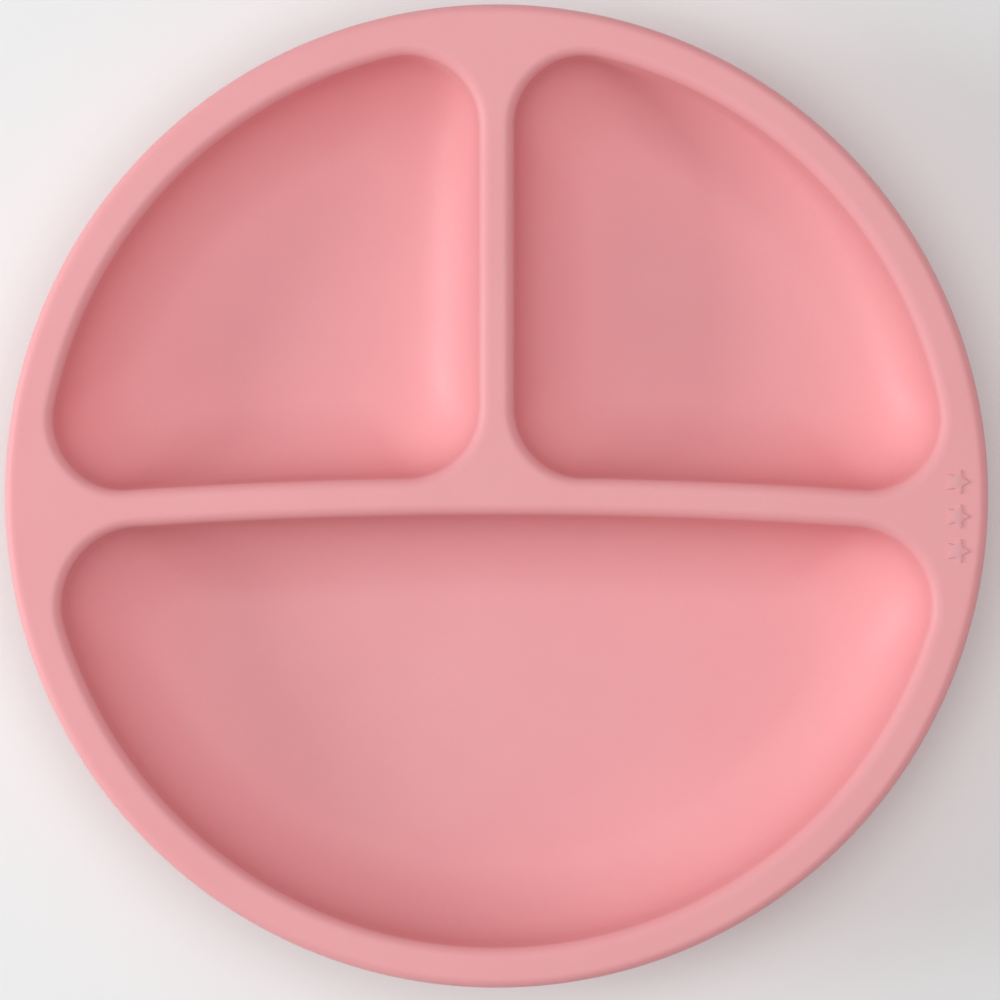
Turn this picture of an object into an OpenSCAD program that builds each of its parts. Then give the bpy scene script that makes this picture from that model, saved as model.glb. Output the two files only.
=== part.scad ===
// Divided suction plate for a baby: a thick moulded silicone plate with one large and two small
// compartments, standing on a soft suction base with a pull tab that breaks the suction.
// Millimetres, +Z up. The origin is on the table, under the centre of the plate.
// The large compartment is towards -Y, and so is the pull tab.

/* [Plate] */
// Diameter over the rim
plate_d = 188; // [150:1:240]
// Depth of the compartments, from the top of the rim to their floors
pocket_depth = 21; // [17.5:0.5:30]
// Thickness of the floor
floor_t = 3; // [2:0.25:5]
// Thickness of the outer wall, under the rim
wall_t = 3; // [2:0.25:4.5]
// Width of the rim's top, from its outer edge to the compartments
rim_w = 7.8; // [6.5:0.1:10]
// Thickness of the rim
rim_t = 5; // [3.5:0.25:8]
// Rounding of the rim's outer edge
rim_round = 1.8; // [0.5:0.1:2.3]
// Rounding of the edge where the top turns down into a compartment
mouth_round = 2.2; // [0.4:0.1:2.4]

/* [Compartments] */
// Width of the divider between the two small compartments
spine_w = 6.9; // [5.5:0.1:10]
// Width of the divider between the small compartments and the large one
cross_w = 7.3; // [5.5:0.1:10]
// Radius to which that divider bows, towards the small compartments
cross_bow_r = 1035; // [400:5:4000]
// Angle by which the compartments' walls lean out from the upright
wall_draft = 7; // [2:0.5:12]
// Radius of the blend from a wall to the floor
floor_blend_r = 16; // [8:0.5:16]
// Corner radius of the small compartments, seen from above
small_corner_r = 13.5; // [9:0.5:20]
// Corner radius of the large compartment, seen from above
large_corner_r = 15; // [9:0.5:24]
// How much a corner tightens for each millimetre that its wall moves in
corner_tighten = 0.3; // [0:0.05:0.45]

/* [Rim mark] */
// Diameter of each of the small raised stars on the rim
star_d = 5.2; // [3:0.1:5.5]
// Distance from one star to the next, along the rim
star_pitch = 6.6; // [6:0.1:9]
// Height of the stars above the rim
star_h = 0.3; // [0.2:0.05:0.6]

/* [Suction base] */
// Height of the plate's underside above the table
base_h = 8; // [6.5:0.25:14]
// How far the plate sinks when it is pressed down
press_travel = 3; // [1.5:0.1:3.6]
// Diameter of the hub that is bonded under the plate
hub_d = 60; // [40:1:76]
// Depth of the rebate in the plate that the hub sits in
rebate_depth = 1; // [0.5:0.1:1.5]
// Depth of the shallow chamber in the hub's lower face
chamber_depth = 1.2; // [0.5:0.1:2]
// Diameter over the lip of the suction skirt
lip_d = 116; // [96:1:140]
// Thickness of the skirt where it starts, at the hub
skirt_root_t = 2; // [1.2:0.1:2.5]
// Thickness of the skirt at its lip
lip_t = 0.9; // [0.6:0.1:1.5]
// Width of the flat band of the lip that seals on the table
seal_w = 3; // [1.5:0.5:6]

/* [Release tab] */
// Width of the tab
tab_w = 24; // [16:1:32]
// Thickness of the tab
tab_t = 1.4; // [1:0.1:2]
// How far the tab's end stays inside the edge of the rim
tab_inset = 6; // [2:0.5:12]
// Number of grip ribs on the tab
rib_count = 3; // [1:1:4]
// Distance from one grip rib to the next
rib_pitch = 3; // [2.5:0.25:4]
// Height of a grip rib
rib_h = 0.4; // [0.2:0.05:0.6]

/* [Clearances] */
// Gap round the bonded hub in its rebate
bond_gap = 0.1; // [0.05:0.05:0.2]
// Gap between the hub and the skirt that moves round it
slide_gap = 0.4; // [0.3:0.05:0.8]
// Gap left between the skirt and the plate when the base is pressed flat
press_gap = 0.6; // [0.4:0.1:1]
// Gap between the lip and the tab that hinges on it
hinge_gap = 0.3; // [0.25:0.05:0.6]
// Height of the tab above the table
tab_clear = 0.1; // [0.05:0.05:0.3]

/* [Hidden] */
$fn = 96;

// How finely the compartments are facetted: edges along each stretch of their outline
CORNER_STEPS = 8;
RIM_STEPS = 16;
DIVIDER_STEPS = 6;
MOUTH_STEPS = 4;
BLEND_STEPS = 7;
ROUND_STEPS = 6;
BELL_STEPS = 8;
OVERCUT = 1;

plate_r = plate_d / 2;
floor_z = base_h + floor_t;
plate_h = floor_z + pocket_depth;
pocket_r = plate_r - rim_w;
mouth_z = plate_h - mouth_round;
blend_z = floor_z + floor_blend_r;

hub_r = hub_d / 2;
lip_r = lip_d / 2;
skirt_top_z = base_h - press_travel - press_gap;
skirt_r = hub_r + slide_gap;

hinge_y = -(lip_r + hinge_gap + tab_t / 2);
hinge_z = tab_clear + tab_t / 2;
tab_end_r = tab_w / 2;
tab_end_y = -(plate_r - tab_inset - tab_end_r);
rib_r = 0.4 * (tab_t + rib_h);

mark_r = plate_r - rim_w * 0.78;
mark_y = -3.9;
STAR_POINTS = 5;
STAR_WAIST = 0.5;

// How far a wall has moved in from its outline, at a height z on its leaning stretch
function lean(z) = (mouth_z - z) * tan(wall_draft);
// How far in from its outline the centre of the blend to the floor lies
blend_in = lean(blend_z) + floor_blend_r / cos(wall_draft);

// The section of a compartment's wall, from the top down, as pairs of [inset, height]
SECTION = concat(
    [[-mouth_round, plate_h + OVERCUT]],
    [for (i = [0:MOUTH_STEPS]) let (a = 90 * i / MOUTH_STEPS)
        [-mouth_round * (1 - sin(a)), plate_h - mouth_round * (1 - cos(a))]],
    [for (i = [0:BLEND_STEPS]) let (a = wall_draft + (90 - wall_draft) * i / BLEND_STEPS)
        [blend_in - floor_blend_r * cos(a), blend_z - floor_blend_r * sin(a)]]
);

// Points along an arc, both ends included
function arc(centre, r, from, to, steps) =
    [for (i = [0:steps]) let (a = from + (to - from) * i / steps)
        centre + r * [cos(a), sin(a)]];

// The same arc without its two ends, where the corners already have points
function inner_arc(centre, r, from, to, steps) =
    [for (i = [1:steps - 1]) let (a = from + (to - from) * i / steps)
        centre + r * [cos(a), sin(a)]];

function bearing(v) = atan2(v.y, v.x);

// The centre about which the bowed divider curves
BOW = [0, -cross_bow_r];

// Where circles of radius a about the origin and radius b about BOW meet, on the +X side
function meeting(a, b) =
    let (y = (b * b - a * a - cross_bow_r * cross_bow_r) / (2 * cross_bow_r))
    [sqrt(a * a - y * y), y];

// Outline of the small compartment on the +X side, moved in by d, anticlockwise
function small_outline(d) =
    let (r = small_corner_r - corner_tighten * max(d, 0) - min(d, 0),
         rim = pocket_r - d,
         bow = cross_bow_r + cross_w / 2 + d,
         left = spine_w / 2 + d,
         outer = meeting(rim - r, bow + r),
         top = [left + r, sqrt(pow(rim - r, 2) - pow(left + r, 2))],
         inner = [left + r, sqrt(pow(bow + r, 2) - pow(left + r, 2)) - cross_bow_r])
    concat(
        arc(outer, r, bearing(BOW - outer), bearing(outer), CORNER_STEPS),
        inner_arc([0, 0], rim, bearing(outer), bearing(top), RIM_STEPS),
        arc(top, r, bearing(top), 180, CORNER_STEPS),
        arc(inner, r, 180, 360 + bearing(BOW - inner), CORNER_STEPS),
        inner_arc(BOW, bow, bearing(inner - BOW), bearing(outer - BOW), DIVIDER_STEPS)
    );

// Outline of the large compartment, moved in by d, anticlockwise
function large_outline(d) =
    let (r = large_corner_r - corner_tighten * max(d, 0) - min(d, 0),
         rim = pocket_r - d,
         bow = cross_bow_r - cross_w / 2 - d,
         right = meeting(rim - r, bow - r),
         left = [-right.x, right.y])
    concat(
        arc(right, r, bearing(right), bearing(right - BOW), CORNER_STEPS),
        inner_arc(BOW, bow, bearing(right - BOW), bearing(left - BOW), 2 * DIVIDER_STEPS),
        arc(left, r, bearing(left - BOW), 360 + bearing(left), CORNER_STEPS),
        inner_arc([0, 0], rim, 360 + bearing(left), 360 + bearing(right), 2 * RIM_STEPS)
    );

// A solid through a stack of level outlines, the highest first, all with the same number of points
module stack(outlines, heights) {
    n = len(outlines[0]);
    last = (len(outlines) - 1) * n;
    points = [for (k = [0:len(outlines) - 1]) for (p = outlines[k]) [p.x, p.y, heights[k]]];
    sides = [for (k = [0:len(outlines) - 2]) for (i = [0:n - 1])
        let (a = k * n + i, b = k * n + (i + 1) % n)
        each [[a, b, b + n], [a, b + n, a + n]]];
    polyhedron(points, concat(
        [[for (i = [0:n - 1]) n - 1 - i]],
        sides,
        [[for (i = [0:n - 1]) last + i]]
    ));
}

// The hollow of one small compartment
module small_pocket() {
    stack([for (s = SECTION) small_outline(s[0])], [for (s = SECTION) s[1]]);
}

// The hollow of the large compartment
module large_pocket() {
    stack([for (s = SECTION) large_outline(s[0])], [for (s = SECTION) s[1]]);
}

// The plate before its compartments are hollowed: floor, outer wall and rim, turned about Z
module plate_blank() {
    outer_blend = floor_blend_r + wall_t;
    outer_z = base_h + outer_blend;
    outer_r = pocket_r - lean(outer_z) + (wall_t - outer_blend) / cos(wall_draft);
    rim_z = plate_h - rim_t;
    neck_r = pocket_r - lean(rim_z) + wall_t / cos(wall_draft);
    rotate_extrude() polygon(concat(
        [[0, plate_h], [0, base_h]],
        arc([outer_r, outer_z], outer_blend, -90, -wall_draft, ROUND_STEPS),
        [[neck_r, rim_z]],
        arc([plate_r - rim_round, rim_z + rim_round], rim_round, -90, 0, ROUND_STEPS),
        arc([plate_r - rim_round, plate_h - rim_round], rim_round, 0, 90, ROUND_STEPS)
    ));
}

// One small raised star, standing a little way into the rim
module star() {
    sink = 0.2;
    translate([0, 0, plate_h - sink]) linear_extrude(star_h + sink)
        polygon([for (i = [0:2 * STAR_POINTS - 1])
            let (r = star_d / 2 * (i % 2 == 0 ? 1 : STAR_WAIST), a = 180 * i / STAR_POINTS)
            r * [cos(a), sin(a)]]);
}

module divided_plate() {
    color([0.90, 0.62, 0.63]) {
        difference() {
            plate_blank();
            small_pocket();
            mirror([1, 0, 0]) small_pocket();
            large_pocket();
            translate([0, 0, base_h - OVERCUT])
                cylinder(r = hub_r + bond_gap, h = rebate_depth + OVERCUT);
        }
        for (i = [-1:1])
            translate([mark_r, mark_y + i * star_pitch, 0]) star();
    }
}

// The disc that is bonded into the plate's rebate, with a shallow chamber in its lower face
module suction_hub() {
    bevel = 2 * chamber_depth;
    chamber_r = hub_r - 2 * bevel;
    color([0.88, 0.58, 0.60]) rotate_extrude() polygon([
        [0, base_h + rebate_depth - bond_gap],
        [0, press_travel + chamber_depth],
        [chamber_r, press_travel + chamber_depth],
        [chamber_r + bevel, press_travel],
        [hub_r, press_travel],
        [hub_r, base_h + rebate_depth - bond_gap]
    ]);
}

// The flexible bell round the hub, thinning towards the lip that seals on the table
module suction_skirt() {
    seal_r = lip_r - seal_w;
    under_z = skirt_top_z - skirt_root_t;
    function fall(t) = pow(1 - t, 1.4);
    color([0.91, 0.64, 0.66]) rotate_extrude() polygon(concat(
        [for (i = [0:BELL_STEPS]) let (t = i / BELL_STEPS)
            [skirt_r + (seal_r - skirt_r) * t, under_z * fall(t)]],
        arc([lip_r - lip_t / 2, lip_t / 2], lip_t / 2, -90, 90, ROUND_STEPS),
        [for (i = [BELL_STEPS - 1:-1:0]) let (t = i / BELL_STEPS)
            [skirt_r + (seal_r - skirt_r) * t, lip_t + (skirt_top_z - lip_t) * fall(t)]]
    ));
}

// The pull tab: a round-ended tongue from the lip, with grip ribs across its top
module release_tab() {
    color([0.91, 0.64, 0.66]) {
        translate([0, 0, tab_clear]) linear_extrude(tab_t) intersection() {
            union() {
                translate([0, tab_end_y]) circle(r = tab_end_r);
                translate([-tab_end_r, tab_end_y]) square([tab_w, -tab_end_y]);
            }
            translate([-tab_end_r, -plate_r]) square([tab_w, plate_r + hinge_y]);
        }
        translate([-tab_end_r, hinge_y, hinge_z]) rotate([0, 90, 0])
            cylinder(r = tab_t / 2, h = tab_w);
        for (i = [0:rib_count - 1])
            translate([-tab_w / 4, tab_end_y - i * rib_pitch, tab_clear + tab_t + rib_h - rib_r])
                rotate([0, 90, 0]) cylinder(r = rib_r, h = tab_w / 2);
    }
}

divided_plate();
suction_hub();
suction_skirt();
release_tab();
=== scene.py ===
# %% [markdown]
# # A divided suction plate
# The object is a baby's plate: one thick silicone moulding with a large and two small
# compartments, on a soft suction base with a pull tab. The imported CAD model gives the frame, the
# sizes and the moving bodies. These cells model the same pieces again as fine, smooth meshes,
# give them a silicone finish, and light them.

# %% Load the frame
import math

import bmesh
import bpy
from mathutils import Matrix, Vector
from mathutils.kdtree import KDTree


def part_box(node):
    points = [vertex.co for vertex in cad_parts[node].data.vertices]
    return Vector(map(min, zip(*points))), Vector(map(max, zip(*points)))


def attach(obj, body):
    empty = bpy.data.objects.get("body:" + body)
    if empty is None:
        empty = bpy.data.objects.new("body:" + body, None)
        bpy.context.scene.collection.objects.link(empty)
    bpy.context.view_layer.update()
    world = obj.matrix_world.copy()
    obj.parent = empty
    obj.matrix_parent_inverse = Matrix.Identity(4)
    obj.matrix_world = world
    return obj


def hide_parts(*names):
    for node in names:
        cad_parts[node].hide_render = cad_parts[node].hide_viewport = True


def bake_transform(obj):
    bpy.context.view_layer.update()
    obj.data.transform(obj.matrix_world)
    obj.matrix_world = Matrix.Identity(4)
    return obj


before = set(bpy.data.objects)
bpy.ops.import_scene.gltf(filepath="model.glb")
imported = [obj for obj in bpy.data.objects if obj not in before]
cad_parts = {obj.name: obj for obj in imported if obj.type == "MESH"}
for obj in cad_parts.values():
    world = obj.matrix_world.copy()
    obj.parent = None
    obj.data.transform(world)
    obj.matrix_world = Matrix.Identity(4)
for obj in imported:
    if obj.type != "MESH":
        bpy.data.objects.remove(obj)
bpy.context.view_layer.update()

# %% [markdown]
# ## Sizes
# The outside sizes come from the frame, so each new mesh lands on the CAD solid that it stands
# for. The finer sizes, such as the widths of the dividers and the radii, are named here once.

# %% Sizes from the frame
plate_low, plate_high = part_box("divided_plate")
hub_low, hub_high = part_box("suction_hub")
skirt_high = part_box("suction_skirt")[1]
tab_low, tab_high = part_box("release_tab")

STAR_H = 0.0003
plate_r = plate_high[1]
plate_top = plate_high[2] - STAR_H
under_z = plate_low[2]
hub_r = hub_high[0]
lip_r = skirt_high[0]
print("rim radius", plate_r, "rim height", plate_top, "underside", under_z)

# %% Finer sizes, in metres and degrees
RIM_W = 0.0078
RIM_T = 0.005
RIM_ROUND = 0.0018
MOUTH_ROUND = 0.0022
WALL_T = 0.003
FLOOR_T = 0.003
SPINE_W = 0.0069
CROSS_W = 0.0073
CROSS_BOW_R = 1.035
WALL_DRAFT = math.radians(7)
FLOOR_BLEND_R = 0.016
SMALL_CORNER_R = 0.0135
LARGE_CORNER_R = 0.015
CORNER_TIGHTEN = 0.3
REBATE = 0.001

pocket_r = plate_r - RIM_W
floor_z = under_z + FLOOR_T
mouth_z = plate_top - MOUTH_ROUND
blend_z = floor_z + FLOOR_BLEND_R
print("compartment depth", plate_top - floor_z)

# %% [markdown]
# ## Working by rings
# Every piece here is made the way a potter or a mould maker thinks: as a stack of rings. A circle
# primitive is added, its points are set on the first ring, and then its edge is extruded again
# and again, each new ring set at its own size and height. Loop cuts or a boolean could do it too,
# but rings keep the mesh in clean bands of four-sided faces, which take light smoothly.

# %% Ring helpers
def clear_selection():
    bpy.ops.object.select_all(action="DESELECT")


def ring_points(radius, z, count):
    """A level circle about the Z axis, starting on +Y as Blender's own circle does."""
    turns = [2 * math.pi * i / count for i in range(count)]
    return [Vector((-radius * math.sin(t), radius * math.cos(t), z)) for t in turns]


def start_object(name, count):
    """A new object that holds one circle of count points, left in edit mode."""
    clear_selection()
    bpy.ops.mesh.primitive_circle_add(vertices=count, radius=1)
    piece = bpy.context.active_object
    piece.name = name
    piece.data.name = name
    bpy.ops.object.mode_set(mode="EDIT")
    return piece


def place_selected(piece, before, after):
    """Moves each selected point from its place in before to the same place in after."""
    tree = KDTree(len(before))
    for i, p in enumerate(before):
        tree.insert(p, i)
    tree.balance()
    mesh = bmesh.from_edit_mesh(piece.data)
    for v in mesh.verts:
        if v.select:
            v.co = after[tree.find(v.co)[1]]
    bmesh.update_edit_mesh(piece.data)


def loft(piece, rings, cap_end):
    """Sets the selected circle on the first ring and extrudes it through the others."""
    place_selected(piece, ring_points(1, 0, len(rings[0])), rings[0])
    for before, after in zip(rings, rings[1:]):
        bpy.ops.mesh.extrude_edges_move()
        place_selected(piece, before, after)
    if cap_end:
        bpy.ops.mesh.fill(use_beauty=True)


def finish_piece(piece, angle=40):
    """Closes the piece's normals outwards, shades it smooth and leaves it clean at the origin."""
    bpy.ops.mesh.select_all(action="SELECT")
    bpy.ops.mesh.remove_doubles(threshold=1e-7)
    bpy.ops.mesh.normals_make_consistent(inside=False)
    bpy.ops.object.mode_set(mode="OBJECT")
    bpy.ops.object.transform_apply(location=True, rotation=True, scale=True)
    bpy.ops.object.shade_smooth_by_angle(angle=math.radians(angle))
    print(piece.name, "has", len(piece.data.polygons), "faces")


# %% [markdown]
# ## The outlines of the compartments
# Seen from above, each compartment is bounded by the round rim, by the straight divider or the
# gently bowed one, and by round corners. Each corner's centre is where two offset circles, or a
# circle and a line, cross, so the arcs run into each other with no kink. An outline can be moved
# in by any distance, which is what the sloping wall needs at each level.

# %% Outlines
CORNER_STEPS = 22
RIM_STEPS = 56
LINE_STEPS = 18
BOW_STEPS = 30
BOW_CENTRE = Vector((0, -CROSS_BOW_R))
CENTRE = Vector((0, 0))


def bearing(v):
    return math.atan2(v.y, v.x)


def arc(centre, radius, start, end, steps, ends=True):
    """Points along an arc, with or without its two end points."""
    first, last = (0, steps) if ends else (1, steps - 1)
    turns = [start + (end - start) * i / steps for i in range(first, last + 1)]
    return [centre + radius * Vector((math.cos(t), math.sin(t))) for t in turns]


def between(a, b, steps):
    """Points along a straight stretch, without its ends."""
    return [a.lerp(b, i / steps) for i in range(1, steps)]


def meeting(a, b):
    """Where a circle of radius a about the plate's centre meets one of radius b about the bow's."""
    y = (b * b - a * a - CROSS_BOW_R ** 2) / (2 * CROSS_BOW_R)
    return Vector((math.sqrt(a * a - y * y), y))


def corner_radius(full, d):
    return full - CORNER_TIGHTEN * max(d, 0) - min(d, 0)


def small_outline(d):
    """The small compartment on the +X side, moved in by d, anticlockwise."""
    r = corner_radius(SMALL_CORNER_R, d)
    rim = pocket_r - d
    bow = CROSS_BOW_R + CROSS_W / 2 + d
    x = SPINE_W / 2 + d + r
    outer = meeting(rim - r, bow + r)
    top = Vector((x, math.sqrt((rim - r) ** 2 - x * x)))
    inner = Vector((x, math.sqrt((bow + r) ** 2 - x * x) - CROSS_BOW_R))
    low_turn = 2 * math.pi + bearing(BOW_CENTRE - inner)
    first = arc(outer, r, bearing(BOW_CENTRE - outer), bearing(outer), CORNER_STEPS)
    second = arc(top, r, bearing(top), math.pi, CORNER_STEPS)
    third = arc(inner, r, math.pi, low_turn, CORNER_STEPS)
    rim_arc = arc(CENTRE, rim, bearing(outer), bearing(top), RIM_STEPS, ends=False)
    bow_arc = arc(BOW_CENTRE, bow, bearing(inner - BOW_CENTRE), bearing(outer - BOW_CENTRE),
                  BOW_STEPS, ends=False)
    return first + rim_arc + second + between(second[-1], third[0], LINE_STEPS) + third + bow_arc


def large_outline(d):
    """The large compartment, moved in by d, anticlockwise."""
    r = corner_radius(LARGE_CORNER_R, d)
    rim = pocket_r - d
    bow = CROSS_BOW_R - CROSS_W / 2 - d
    right = meeting(rim - r, bow - r)
    left = Vector((-right.x, right.y))
    turn = 2 * math.pi
    first = arc(right, r, bearing(right), bearing(right - BOW_CENTRE), CORNER_STEPS)
    bow_arc = arc(BOW_CENTRE, bow, bearing(right - BOW_CENTRE), bearing(left - BOW_CENTRE),
                  2 * BOW_STEPS, ends=False)
    second = arc(left, r, bearing(left - BOW_CENTRE), turn + bearing(left), CORNER_STEPS)
    rim_arc = arc(CENTRE, rim, turn + bearing(left), turn + bearing(right),
                  2 * RIM_STEPS, ends=False)
    return first + bow_arc + second + rim_arc


print("points in a small outline", len(small_outline(0)), "and in the large", len(large_outline(0)))

# %% [markdown]
# ## The wall's section
# From the rim's flat top the moulding rounds over a small edge, falls down a wall that leans out
# a little so that it leaves the mould, and turns through a large blend into the flat floor. The
# large blend is what lets a baby scoop food up against the wall with a spoon.

# %% Section
MOUTH_STEPS = 8
BLEND_STEPS = 20
FLAT_BAND = 0.0004


def lean(z):
    """How far in the wall has come at height z, on its straight stretch."""
    return (mouth_z - z) * math.tan(WALL_DRAFT)


def wall_section():
    """Pairs of inset and height from the flat top down to the flat floor."""
    blend_in = lean(blend_z) + FLOOR_BLEND_R / math.cos(WALL_DRAFT)
    section = [(-MOUTH_ROUND - FLAT_BAND, plate_top)]
    for i in range(MOUTH_STEPS + 1):
        a = math.pi / 2 * i / MOUTH_STEPS
        inset = -MOUTH_ROUND * (1 - math.sin(a))
        section.append((inset, plate_top - MOUTH_ROUND * (1 - math.cos(a))))
    for i in range(BLEND_STEPS + 1):
        a = WALL_DRAFT + (math.pi / 2 - WALL_DRAFT) * i / BLEND_STEPS
        inset = blend_in - FLOOR_BLEND_R * math.cos(a)
        section.append((inset, blend_z - FLOOR_BLEND_R * math.sin(a)))
    section.append((blend_in + FLAT_BAND, floor_z))
    return section


section = wall_section()
print("the floor starts", round(section[-1][0] * 1000, 1), "mm in from the compartment's edge")

# %% [markdown]
# ## The plate
# The outside is turned: rings run from the edge of the flat top round the thick rim, in under it,
# down the outer wall, and across the underside to the rebate that the hub sits in. Then each
# compartment is lofted down from its own outline. What is left open is the flat top between them,
# and because it is flat, one fill closes it without a trace.

# %% Outside of the plate
TURN_COUNT = 240
ROUND_STEPS = 6
WALL_STEPS = 14
NECK_STEPS = 5
NECK_ROUND = 0.0018
BOND_GAP = 0.0001
REBATE_SOFT = 0.0004


def round_profile(r, z, radius, start, end, steps):
    """Radius and height pairs along an arc in the turned section, angles in degrees."""
    turns = [math.radians(start + (end - start) * i / steps) for i in range(steps + 1)]
    return [(r + radius * math.cos(t), z + radius * math.sin(t)) for t in turns]


def outside_profile():
    rim_z = plate_top - RIM_T
    blend_r = FLOOR_BLEND_R + WALL_T
    blend_mid_z = under_z + blend_r
    draft = math.degrees(WALL_DRAFT)
    blend_mid_r = pocket_r - lean(blend_mid_z) + (WALL_T - blend_r) / math.cos(WALL_DRAFT)
    neck_r = pocket_r - lean(rim_z) + WALL_T / math.cos(WALL_DRAFT)
    profile = [(plate_r - RIM_ROUND - FLAT_BAND, plate_top)]
    profile += round_profile(plate_r - RIM_ROUND, plate_top - RIM_ROUND, RIM_ROUND, 90, 0, ROUND_STEPS)
    profile += round_profile(plate_r - RIM_ROUND, rim_z + RIM_ROUND, RIM_ROUND, 0, -90, ROUND_STEPS)
    profile += round_profile(neck_r + NECK_ROUND, rim_z - NECK_ROUND, NECK_ROUND, 90, 180 - draft,
                             NECK_STEPS)
    profile += round_profile(blend_mid_r, blend_mid_z, blend_r, -draft, -90, WALL_STEPS)
    rebate_r = hub_r + BOND_GAP
    profile += round_profile(rebate_r + REBATE_SOFT, under_z + REBATE_SOFT, REBATE_SOFT, 270, 180,
                             ROUND_STEPS)
    profile += [(rebate_r, under_z + REBATE), (rebate_r - FLAT_BAND, under_z + REBATE)]
    return profile


plate = start_object("plate_moulding", TURN_COUNT)
outside = [ring_points(r, z, TURN_COUNT) for r, z in outside_profile()]
loft(plate, outside, cap_end=True)
print("rings round the outside:", len(outside))

# %% Compartments
def compartment(outline, mirrored=False):
    """Lofts one compartment's wall and floor into the plate's mesh."""
    side = -1 if mirrored else 1
    rings = [[Vector((side * p.x, p.y, z)) for p in outline(d)] for d, z in section]
    bpy.ops.mesh.select_all(action="DESELECT")
    bpy.ops.mesh.primitive_circle_add(vertices=len(rings[0]), radius=1)
    loft(plate, rings, cap_end=True)


compartment(small_outline)
compartment(small_outline, mirrored=True)
compartment(large_outline)

# %% Close the flat top
def close_open_edges():
    """Fills whatever the selected object's mesh leaves open; all of it is flat."""
    bpy.ops.mesh.select_all(action="DESELECT")
    bpy.ops.mesh.select_mode(type="EDGE")
    piece = bpy.context.active_object
    mesh = bmesh.from_edit_mesh(piece.data)
    for edge in mesh.edges:
        edge.select = edge.is_boundary
    bmesh.update_edit_mesh(piece.data)
    bpy.ops.mesh.fill(use_beauty=True)
    bpy.ops.mesh.select_mode(type="VERT")


close_open_edges()
finish_piece(plate)
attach(plate, "plate")
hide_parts("divided_plate")

# %% [markdown]
# ## The stars on the rim
# A small raised mark is part of the same mould: the steel is engraved, so the silicone stands
# proud by a third of a millimetre with soft edges. Three plain stars are modelled. A star's straight
# edges have a simple formula in polar form, and averaging it over a few degrees rounds its points
# and its waists, as an engraving cutter does. One star is lofted up to its rounded top edge, closed,
# and then copied along the rim.

# %% Rim stars
STAR_POINTS = 5
STAR_COUNT = 3
STAR_D = 0.0052
STAR_WAIST = 0.5
STAR_PITCH = 0.0066
STAR_SINK = 0.0002
STAR_EDGE = 0.6 * STAR_H
STAR_OUTLINE = 240
STAR_BLUR = math.radians(5)
STAR_BLUR_STEPS = 4
STAR_EDGE_STEPS = 5
STAR_INSET = 0.78
star_x = plate_r - STAR_INSET * RIM_W
star_y = -0.0039


def sharp_star(turn):
    """The distance to a star's edge in one direction, where its points are at distance 1."""
    half = math.pi / STAR_POINTS
    a = abs((turn + half) % (2 * half) - half)
    return STAR_WAIST * math.sin(half) / (STAR_WAIST * math.sin(half - a) + math.sin(a))


def soft_star(turn):
    """The same distance, averaged over a few degrees to each side."""
    steps = range(-STAR_BLUR_STEPS, STAR_BLUR_STEPS + 1)
    turns = [turn + STAR_BLUR * k / STAR_BLUR_STEPS for k in steps]
    return sum(sharp_star(t) for t in turns) / len(turns)


def star_ring(inset, z, y):
    """A level star outline at height z, drawn in by inset, centred on (star_x, y)."""
    radius = STAR_D / 2 - inset
    ring = []
    for p in ring_points(1, 0, STAR_OUTLINE):
        r = radius * soft_star(bearing(p))
        ring.append(Vector((star_x + r * p.x, y + r * p.y, z)))
    return ring


rings = [star_ring(0, plate_top - STAR_SINK, star_y - STAR_PITCH)]
for i in range(STAR_EDGE_STEPS + 1):
    a = math.pi / 2 * i / STAR_EDGE_STEPS
    height = plate_top + STAR_H - STAR_EDGE * (1 - math.sin(a))
    rings.append(star_ring(STAR_EDGE * (1 - math.cos(a)), height, star_y - STAR_PITCH))
rim_stars = start_object("rim_stars", STAR_OUTLINE)
loft(rim_stars, rings, cap_end=True)
close_open_edges()
bpy.ops.mesh.select_all(action="SELECT")
for i in range(1, STAR_COUNT):
    bpy.ops.mesh.duplicate_move(TRANSFORM_OT_translate={"value": (0, STAR_PITCH, 0)})
finish_piece(rim_stars)
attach(rim_stars, "plate")

# %% [markdown]
# ## The hub
# Under the plate a round boss is bonded into a rebate. It carries the suction bell, and the shallow
# chamber in its lower face holds the air that is squeezed out. It is a turned shape, so it is a
# short stack of rings with its edges rounded, closed at both ends.

# %% Hub
HUB_ROUND = 0.0007
CHAMBER = 0.0012
CHAMBER_BEVEL = 2 * CHAMBER
CHAMBER_SOFT = 0.0005
HUB_COUNT = 160
hub_top = hub_high[2]
hub_bottom = hub_low[2]
chamber_top = hub_bottom + CHAMBER
slope = math.degrees(math.atan2(CHAMBER, CHAMBER_BEVEL))


def corner_cut(radius, turn):
    """How far from a corner an arc of this radius starts, where the line turns by turn degrees."""
    return radius * math.tan(math.radians(turn / 2))


def hub_profile():
    """Out round the top edge, down the side, and in over the sloping edge of the chamber."""
    cut = corner_cut(CHAMBER_SOFT, slope)
    mouth_r = hub_r - CHAMBER_BEVEL + cut
    roof_r = hub_r - 2 * CHAMBER_BEVEL - cut
    side = hub_r - HUB_ROUND
    profile = [(side - FLAT_BAND, hub_top)]
    profile += round_profile(side, hub_top - HUB_ROUND, HUB_ROUND, 90, 0, ROUND_STEPS)
    profile += round_profile(side, hub_bottom + HUB_ROUND, HUB_ROUND, 0, -90, ROUND_STEPS)
    profile += round_profile(mouth_r, hub_bottom + CHAMBER_SOFT, CHAMBER_SOFT, -90, -90 - slope,
                             NECK_STEPS)
    profile += round_profile(roof_r, chamber_top - CHAMBER_SOFT, CHAMBER_SOFT, 90 - slope, 90,
                             NECK_STEPS)
    profile.append((roof_r - FLAT_BAND, chamber_top))
    return profile


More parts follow.
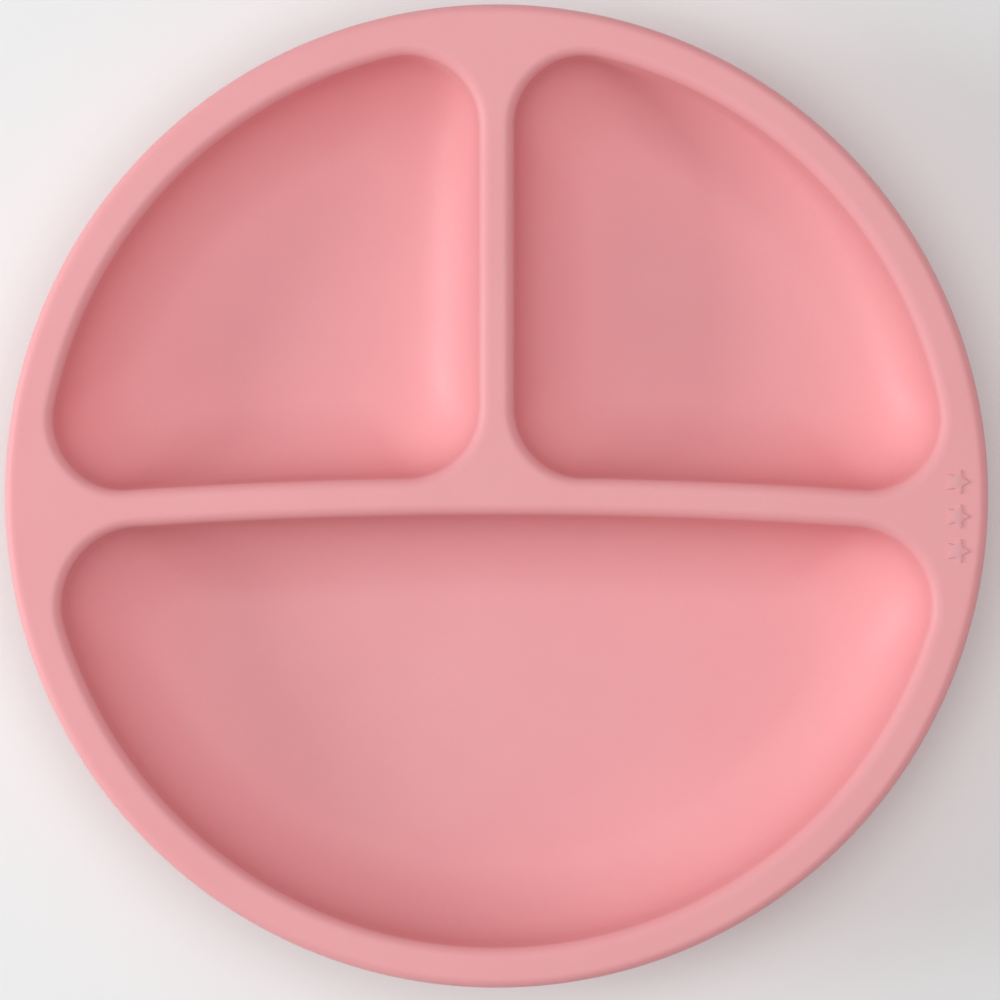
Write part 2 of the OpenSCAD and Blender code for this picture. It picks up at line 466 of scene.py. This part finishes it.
hub = start_object("hub_boss", HUB_COUNT)
loft(hub, [ring_points(r, z, HUB_COUNT) for r, z in hub_profile()], cap_end=True)
close_open_edges()
finish_piece(hub)
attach(hub, "plate")
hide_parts("suction_hub")

# %% [markdown]
# ## The suction skirt
# The bell is a thin flexible disc, thick at the hub and thinning to a lip that seals on the table.
# Its section is a closed loop, so the rings go out along the top, round the lip, back along the
# underside and up again to where they began. The last ring lands on the first and is merged.

# %% Skirt
BELL_STEPS = 24
LIP_T = 0.0009
SEAL_W = 0.003
ROOT_T = 0.002
BELL_CURVE = 1.4
ROOT_GAP = 0.00015
ROOT_SOFT = 0.0003
LIP_STEPS = 8
SKIRT_COUNT = 200
seal_r = lip_r - SEAL_W
skirt_top = skirt_high[2]
root_r = hub_r + ROOT_GAP


def bell_line(low, high, steps):
    """Radius and height pairs from the root out to the lip, falling from high to low."""
    line = []
    for i in range(steps + 1):
        t = i / steps
        height = low + (high - low) * (1 - t) ** BELL_CURVE
        line.append((root_r + (seal_r - root_r) * t, height))
    return line


over = bell_line(LIP_T, skirt_top, BELL_STEPS)
under = bell_line(0, skirt_top - ROOT_T, BELL_STEPS)
lip = round_profile(lip_r - LIP_T / 2, LIP_T / 2, LIP_T / 2, 90, -90, LIP_STEPS)
root = [(root_r, skirt_top - ROOT_T + ROOT_SOFT), (root_r, skirt_top - ROOT_SOFT)]
skirt_profile = [(root_r + ROOT_SOFT, over[0][1])] + over[1:] + lip + under[:0:-1]
skirt_profile += [(root_r + ROOT_SOFT, under[0][1])] + root
skirt_profile.append(skirt_profile[0])
skirt = start_object("suction_bell", SKIRT_COUNT)
loft(skirt, [ring_points(r, z, SKIRT_COUNT) for r, z in skirt_profile], cap_end=False)
finish_piece(skirt, angle=60)
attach(skirt, "skirt")
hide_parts("suction_skirt")

# %% [markdown]
# ## The release tab
# A finger pulls this tongue up to let air in under the lip. It grows out of the lip, thickens
# within a few millimetres, and ends in a half circle with a full round edge and three grip ribs.
# It is lofted through upright sections from the lip outwards, so that it has rows of faces across
# it wherever it has to bend.

# %% Tab sections
TAB_T = 0.0014
TAB_CLEAR = 0.0001
ROOT_SHARE = 0.8
ROOT_OVERLAP = 0.0012
THICKENS_OVER = 0.004
RIB_COUNT = 3
RIB_PITCH = 0.003
RIB_H = 0.0004
RIB_HALF_W = 0.0007
TAB_POINTS = 64
tab_r = tab_high[0]
tab_tip_y = tab_low[1]
tab_end_y = tab_tip_y + tab_r
tab_root_y = -lip_r + ROOT_OVERLAP
ribs_y = [tab_end_y - i * RIB_PITCH for i in range(RIB_COUNT)]


def soft_step(t):
    t = min(max(t, 0), 1)
    return t * t * (3 - 2 * t)


def tab_thickness(y):
    """Thin where it leaves the lip, full a few millimetres further out."""
    root_t = LIP_T * ROOT_SHARE
    return root_t + (TAB_T - root_t) * soft_step((tab_root_y - y) / THICKENS_OVER)


def rib_rise(x, y):
    """How far a grip rib lifts the top at (x, y)."""
    along = soft_step((tab_r / 2 - abs(x)) / RIB_HALF_W + 0.5)
    across = max(max(0, 1 - ((y - rib) / RIB_HALF_W) ** 2) for rib in ribs_y)
    return RIB_H * along * across


def tab_section(y):
    """The upright loop of points across the tab at y."""
    beyond = max(tab_end_y - y, 0)
    half_w = math.sqrt(max(tab_r ** 2 - beyond ** 2, 0))
    full = tab_thickness(y)
    edge = full / 2
    loop = []
    for i in range(TAB_POINTS):
        turn = 2 * math.pi * i / TAB_POINTS
        x = half_w * math.cos(turn)
        inside = tab_r - math.hypot(x, beyond)
        half = edge if inside > edge else math.sqrt(max(edge ** 2 - (edge - inside) ** 2, 0))
        side = 1 if math.sin(turn) > 0 else -1
        rise = rib_rise(x, y) if side > 0 and inside > edge else 0
        loop.append(Vector((x, y, TAB_CLEAR + edge + side * half + rise)))
    return loop


# %% Tab
STRAIGHT_ROWS = 110
ROUND_ROWS = 64
TIP_STOP = 0.000002


def tab_rows():
    """Where the sections stand: evenly along the tongue, and closing in round its end."""
    turns = [math.pi / 2 * i / ROUND_ROWS for i in range(ROUND_ROWS)]
    rows = [tab_root_y + (tab_end_y - tab_root_y) * i / STRAIGHT_ROWS for i in range(STRAIGHT_ROWS)]
    rows += [tab_end_y - tab_r * math.sin(t) for t in turns]
    return rows + [tab_tip_y + TIP_STOP]


tab = start_object("pull_tab", TAB_POINTS)
loft(tab, [tab_section(y) for y in tab_rows()], cap_end=True)
close_open_edges()
finish_piece(tab, angle=50)
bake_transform(tab)
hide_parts("release_tab")

# %% [markdown]
# ## The camera
# The plate is looked at from straight above, so that all three compartments show their outlines
# undistorted. A long lens from 1.2 m keeps the walls from leaning outwards. The sensor's width is
# worked out from the width of view that is wanted at the height of the rim, so the framing doesn't
# depend on the lens. The camera stands just off the middle, by less than a millimetre each way.

# %% Camera
VIEW_W = 0.1909
CAMERA_H = 1.2
LENS = 85
CAMERA_OFF = (0.00067, -0.00076)
bpy.ops.object.camera_add(location=(*CAMERA_OFF, plate_top + CAMERA_H), rotation=(0, 0, 0))
camera = bpy.context.active_object
camera.data.lens = LENS
camera.data.sensor_width = VIEW_W / CAMERA_H * LENS
bpy.context.scene.camera = camera
print("the view is", VIEW_W, "m wide at the rim")

# %% [markdown]
# ## The silicone
# Silicone is coloured all through, lets a little red light wander under its surface, and is satin
# because the steel of the mould was blasted with fine grit. A plain colour with one roughness looks
# like paint, so four slight patterns are laid over it, all on object coordinates, which stay fixed
# to the moulding: broad clouds where the pigment mixed unevenly, a fine grain that the blasting
# left, gloss that wanders with the clouds, and a few faint specks, because silicone collects dust.

# %% Silicone nodes
CLOUD_SCALE = 26
CLOUD_DETAIL = 4
CLOUD_ROUGHNESS = 0.6
GRAIN_SCALE = 2400
GRAIN_DETAIL = 2
GRAIN_H = 0.00002
DUST_CELLS = 42
DUST_R = 0.014
DUST_SHARE = 0.5
DUST_CORE = 0.5
SHARE_EDGE = 0.02


def add_node(tree, kind, **inputs):
    """A node with some of its inputs set, by name with underscores for spaces."""
    node = tree.nodes.new("ShaderNode" + kind)
    for name, value in inputs.items():
        node.inputs[name.replace("_", " ")].default_value = value
    return node


def spread(tree, source, low, high, start=0.3, end=0.7):
    """Stretches a pattern's middle values over the range from low to high."""
    node = add_node(tree, "MapRange", From_Min=start, From_Max=end, To_Min=low, To_Max=high)
    tree.links.new(source, node.inputs["Value"])
    return node.outputs["Result"]


def mix_colours(tree, factor, first, second):
    """Mixes two colours, each a fixed one or another node's, by a pattern from 0 to 1."""
    node = tree.nodes.new("ShaderNodeMix")
    node.data_type = "RGBA"
    tree.links.new(factor, node.inputs["Factor"])
    for socket, colour in ((node.inputs["A"], first), (node.inputs["B"], second)):
        if isinstance(colour, tuple):
            socket.default_value = (*colour, 1)
        else:
            tree.links.new(colour, socket)
    return node.outputs["Result"]


def dust_specks(tree, place):
    """A pattern that is 1 in a tiny round speck in about half of its cells, and 0 elsewhere."""
    cells = add_node(tree, "TexVoronoi", Scale=DUST_CELLS)
    tree.links.new(place, cells.inputs["Vector"])
    speck = spread(tree, cells.outputs["Distance"], 1, 0, DUST_CORE * DUST_R, DUST_R)
    parts = tree.nodes.new("ShaderNodeSeparateColor")
    tree.links.new(cells.outputs["Color"], parts.inputs["Color"])
    chosen = spread(tree, parts.outputs["Red"], 1, 0, DUST_SHARE, DUST_SHARE + SHARE_EDGE)
    both = tree.nodes.new("ShaderNodeMath")
    both.operation = "MULTIPLY"
    tree.links.new(speck, both.inputs[0])
    tree.links.new(chosen, both.inputs[1])
    return both.outputs["Value"]


print("grain", round(1000 / GRAIN_SCALE, 2), "mm, specks", round(2000 * DUST_R / DUST_CELLS, 2), "mm")

# %% [markdown]
# ## Two finishes of one silicone
# The plate and the base are the same pink. The base is a softer grade with a smoother skin, and a
# ring at its lip is polished, because a suction cup seals only where it is truly smooth. The ring
# is found from the distance to the middle of the plate, so it needs no second material.

# %% Silicone materials
SATIN = 0.5
SOFT_SATIN = 0.44
POLISH = 0.24
POLISH_EDGE = 0.0006
ROUGH_SWING = 0.03
GLOW = 0.12
GLOW_REACH = 0.006
GLOW_RGB = (1.0, 0.1, 0.08)
PINK = (0.905, 0.392, 0.412)
PINK_DEEP = (0.892, 0.376, 0.398)
DUST = (0.80, 0.42, 0.42)
SILICONE_IOR = 1.41


def silicone(name, roughness):
    """The pink silicone, and the pattern of its clouds for a finish to build on."""
    material = bpy.data.materials.new(name)
    material.use_nodes = True
    tree = material.node_tree
    shader = tree.nodes["Principled BSDF"]
    shader.inputs["IOR"].default_value = SILICONE_IOR
    shader.inputs["Subsurface Weight"].default_value = GLOW
    shader.inputs["Subsurface Radius"].default_value = GLOW_RGB
    shader.inputs["Subsurface Scale"].default_value = GLOW_REACH
    place = tree.nodes.new("ShaderNodeTexCoord").outputs["Object"]
    clouds = add_node(tree, "TexNoise", Scale=CLOUD_SCALE, Detail=CLOUD_DETAIL,
                      Roughness=CLOUD_ROUGHNESS)
    tree.links.new(place, clouds.inputs["Vector"])
    cloud = clouds.outputs["Fac"]
    colour = mix_colours(tree, spread(tree, cloud, 0, 1), PINK, PINK_DEEP)
    colour = mix_colours(tree, dust_specks(tree, place), colour, DUST)
    tree.links.new(colour, shader.inputs["Base Color"])
    rough = spread(tree, cloud, roughness - ROUGH_SWING, roughness + ROUGH_SWING)
    tree.links.new(rough, shader.inputs["Roughness"])
    grain = add_node(tree, "TexNoise", Scale=GRAIN_SCALE, Detail=GRAIN_DETAIL)
    tree.links.new(place, grain.inputs["Vector"])
    bump = add_node(tree, "Bump", Strength=1, Distance=GRAIN_H)
    tree.links.new(grain.outputs["Fac"], bump.inputs["Height"])
    tree.links.new(bump.outputs["Normal"], shader.inputs["Normal"])
    return material


def polish_ring(material, inner, outer, edge):
    """Makes the surface glossy between two distances from the Z axis, with soft edges."""
    tree = material.node_tree
    shader = tree.nodes["Principled BSDF"]
    satin = shader.inputs["Roughness"].links[0].from_socket
    level = tree.nodes.new("ShaderNodeVectorMath")
    level.operation = "MULTIPLY"
    level.inputs[1].default_value = (1, 1, 0)
    tree.links.new(tree.nodes["Texture Coordinate"].outputs["Object"], level.inputs[0])
    away = tree.nodes.new("ShaderNodeVectorMath")
    away.operation = "LENGTH"
    tree.links.new(level.outputs["Vector"], away.inputs[0])
    beyond_inner = spread(tree, away.outputs["Value"], 0, 1, inner - edge, inner)
    within_outer = spread(tree, away.outputs["Value"], 1, 0, outer, outer + edge)
    ring = tree.nodes.new("ShaderNodeMath")
    ring.operation = "MULTIPLY"
    tree.links.new(beyond_inner, ring.inputs[0])
    tree.links.new(within_outer, ring.inputs[1])
    gloss = tree.nodes.new("ShaderNodeMix")
    tree.links.new(ring.outputs["Value"], gloss.inputs["Factor"])
    tree.links.new(satin, gloss.inputs["A"])
    gloss.inputs["B"].default_value = POLISH
    tree.links.new(gloss.outputs["Result"], shader.inputs["Roughness"])


plate_finish = silicone("pink_silicone", SATIN)
base_finish = silicone("soft_base_silicone", SOFT_SATIN)
polish_ring(base_finish, seal_r, lip_r, POLISH_EDGE)
for piece, finish in (
        (plate, plate_finish), (rim_stars, plate_finish),
        (hub, base_finish), (skirt, base_finish), (tab, base_finish)):
    piece.data.materials.clear()
    piece.data.materials.append(finish)
    print(piece.name, "is", finish.name)

# %% [markdown]
# ## The table
# The plate stands on plain pale paper. It is part of the stage and not of the object.

# %% Table
PAPER_SIZE = 6
PAPER_WHITE = 0.92
PAPER_ROUGHNESS = 0.8
clear_selection()
bpy.ops.mesh.primitive_plane_add(size=PAPER_SIZE, location=(0, 0, 0))
table = bpy.context.active_object
table.name = "pale_table"
paper = bpy.data.materials.new("pale_paper")
paper.use_nodes = True
paper_shader = paper.node_tree.nodes["Principled BSDF"]
paper_shader.inputs["Base Color"].default_value = (PAPER_WHITE, PAPER_WHITE, PAPER_WHITE, 1)
paper_shader.inputs["Roughness"].default_value = PAPER_ROUGHNESS
table.data.materials.append(paper)

# %% [markdown]
# ## The light
# The main light is a low softbox on the left. It is wide but not tall, so the left walls throw a
# shadow that fades out a few centimetres into each compartment, and the walls on the right face the
# light and are the brightest. A large softbox overhead lights the floors, and a weak one from the
# back, with a faint all-round light, keeps the shadows open. The key is a shade cooler than the
# overhead lamp, which keeps the pink of the lit walls clean. Each lamp is placed by the direction
# that its light comes from, and is turned to face the plate.

# %% Lights
LAMP_DISTANCE = 1.3
WORLD_STRENGTH = 0.233
NEUTRAL = (1.0, 1.0, 1.0)
COOL = (0.86, 1.0, 1.0)
WARM = (1.0, 0.98, 0.98)


def softbox(name, azimuth, elevation, width, height, power, colour=NEUTRAL):
    """A rectangular lamp that faces the plate from a direction in degrees, azimuth 0 on +X."""
    turn = math.radians(azimuth)
    rise = math.radians(elevation)
    level = LAMP_DISTANCE * math.cos(rise)
    place = Vector((level * math.cos(turn), level * math.sin(turn), LAMP_DISTANCE * math.sin(rise)))
    facing = (-place).to_track_quat("-Z", "Y").to_euler()
    bpy.ops.object.light_add(type="AREA", location=place, rotation=facing)
    lamp = bpy.context.active_object
    lamp.name = name
    lamp.data.shape = "RECTANGLE"
    lamp.data.size = width
    lamp.data.size_y = height
    lamp.data.energy = power
    lamp.data.color = colour
    print(name, "of", power, "W from azimuth", azimuth, "and elevation", elevation)


softbox("key_left", 180, 22, 0.6, 0.34, 9.5, COOL)
softbox("overhead", 0, 90, 0.9, 0.9, 7.86, WARM)
softbox("fill_back", 90, 60, 0.8, 0.8, 0.97)
world = bpy.data.worlds.new("studio")
world.use_nodes = True
world.node_tree.nodes["Background"].inputs["Color"].default_value = (1, 1, 1, 1)
world.node_tree.nodes["Background"].inputs["Strength"].default_value = WORLD_STRENGTH
bpy.context.scene.world = world
bpy.context.scene.view_settings.view_transform = "Standard"
